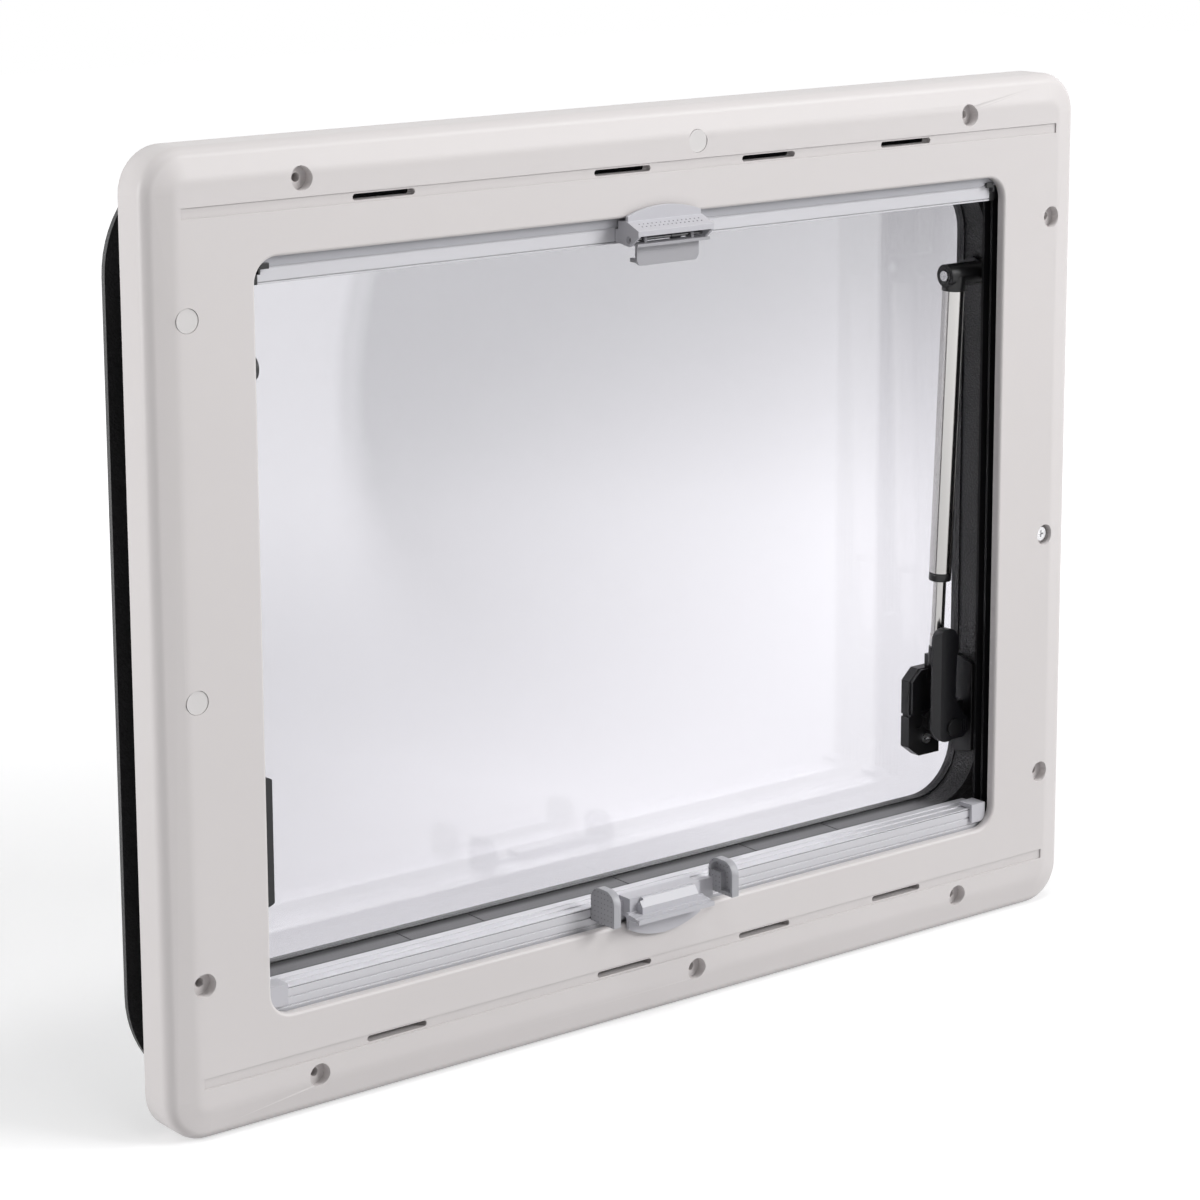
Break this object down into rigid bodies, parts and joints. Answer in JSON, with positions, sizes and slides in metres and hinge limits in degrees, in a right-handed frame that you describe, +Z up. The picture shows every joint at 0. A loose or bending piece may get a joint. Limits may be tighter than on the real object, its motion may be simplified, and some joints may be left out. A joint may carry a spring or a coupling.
{
  "type": "hinged caravan window with inner frame, screen and blind",
  "caption": "Rectangular caravan window: light inner frame with air slots, blind and screen bars with grips, dark outer frame, clear acrylic sash, telescopic stays and turning latch levers.",
  "frame": {"origin": "on the face of the outer flange that bears on the outside of the wall, at the middle of its lower side", "axes": "+X to the right as seen from inside the caravan, +Y outwards through the wall, +Z up"},
  "size_m": [0.73, 0.1026, 0.585],
  "materials": {
    "frame_plastic": "fine satin texture",
    "cap_plastic": "satin",
    "outer_plastic": "coarse leather-like texture",
    "seal_rubber": "matt",
    "dark_aluminium": "satin",
    "pane_acrylic": "clear and polished",
    "cassette_aluminium": "satin grey",
    "bar_aluminium": "satin anodised",
    "guide_plastic": "satin",
    "grip_plastic": "satin",
    "hook_plastic": "satin",
    "black_plastic": "fine texture",
    "lever_plastic": "satin",
    "polished_steel": "polished",
    "screw_steel": "bright zinc"
  },
  "bodies": {
    "window": {"inner_frame": "frame_plastic", "screw_caps": "cap_plastic", "frame_screw": "screw_steel", "outer_frame": "outer_plastic", "outer_flange": "outer_plastic", "frame_seal": "seal_rubber", "hinge_rail": "dark_aluminium", "sash_hinge_profile": "dark_aluminium", "sash_inner_pane": "pane_acrylic", "sash_outer_pane": "pane_acrylic", "upper_cassette": "cassette_aluminium", "lower_cassette": "cassette_aluminium", "guide_left": "guide_plastic", "guide_right": "guide_plastic", "screen_bar": "bar_aluminium", "screen_bar_ends": "guide_plastic", "screen_grip": "grip_plastic", "screen_grip_flap": "grip_plastic", "grip_spring": "screw_steel", "blind_bar": "bar_aluminium", "blind_bar_ends": "grip_plastic", "blind_grip": "grip_plastic", "blind_hooks": "hook_plastic", "stay_bracket_left": "black_plastic", "stay_bracket_right": "black_plastic", "stay_screw_left": "screw_steel", "stay_screw_right": "screw_steel", "stay_tube_left": "polished_steel", "stay_tube_right": "polished_steel", "stay_ring_left": "black_plastic", "stay_ring_right": "black_plastic", "stay_rod_left": "polished_steel", "stay_rod_right": "polished_steel", "stay_foot_left": "polished_steel", "stay_foot_right": "polished_steel", "latch_base_left": "black_plastic", "latch_base_right": "black_plastic", "latch_pin_left": "black_plastic", "latch_pin_right": "black_plastic", "latch_screws_left": "screw_steel", "latch_screws_right": "screw_steel", "keeper_left": "black_plastic", "keeper_right": "black_plastic"},
    "lever_left": {"latch_lever_left": "lever_plastic"},
    "lever_right": {"latch_lever_right": "lever_plastic"}
  },
  "joints": [
    {"name": "lever_left_turn", "type": "hinge", "parent": "window", "child": "lever_left", "pos_m": [-0.285, -0.0235, 0.12], "axis": [0, 1, 0], "range_deg": [0, 90]},
    {"name": "lever_right_turn", "type": "hinge", "parent": "window", "child": "lever_right", "pos_m": [0.285, -0.0235, 0.12], "axis": [0, 1, 0], "range_deg": [-90, 0]}
  ]
}
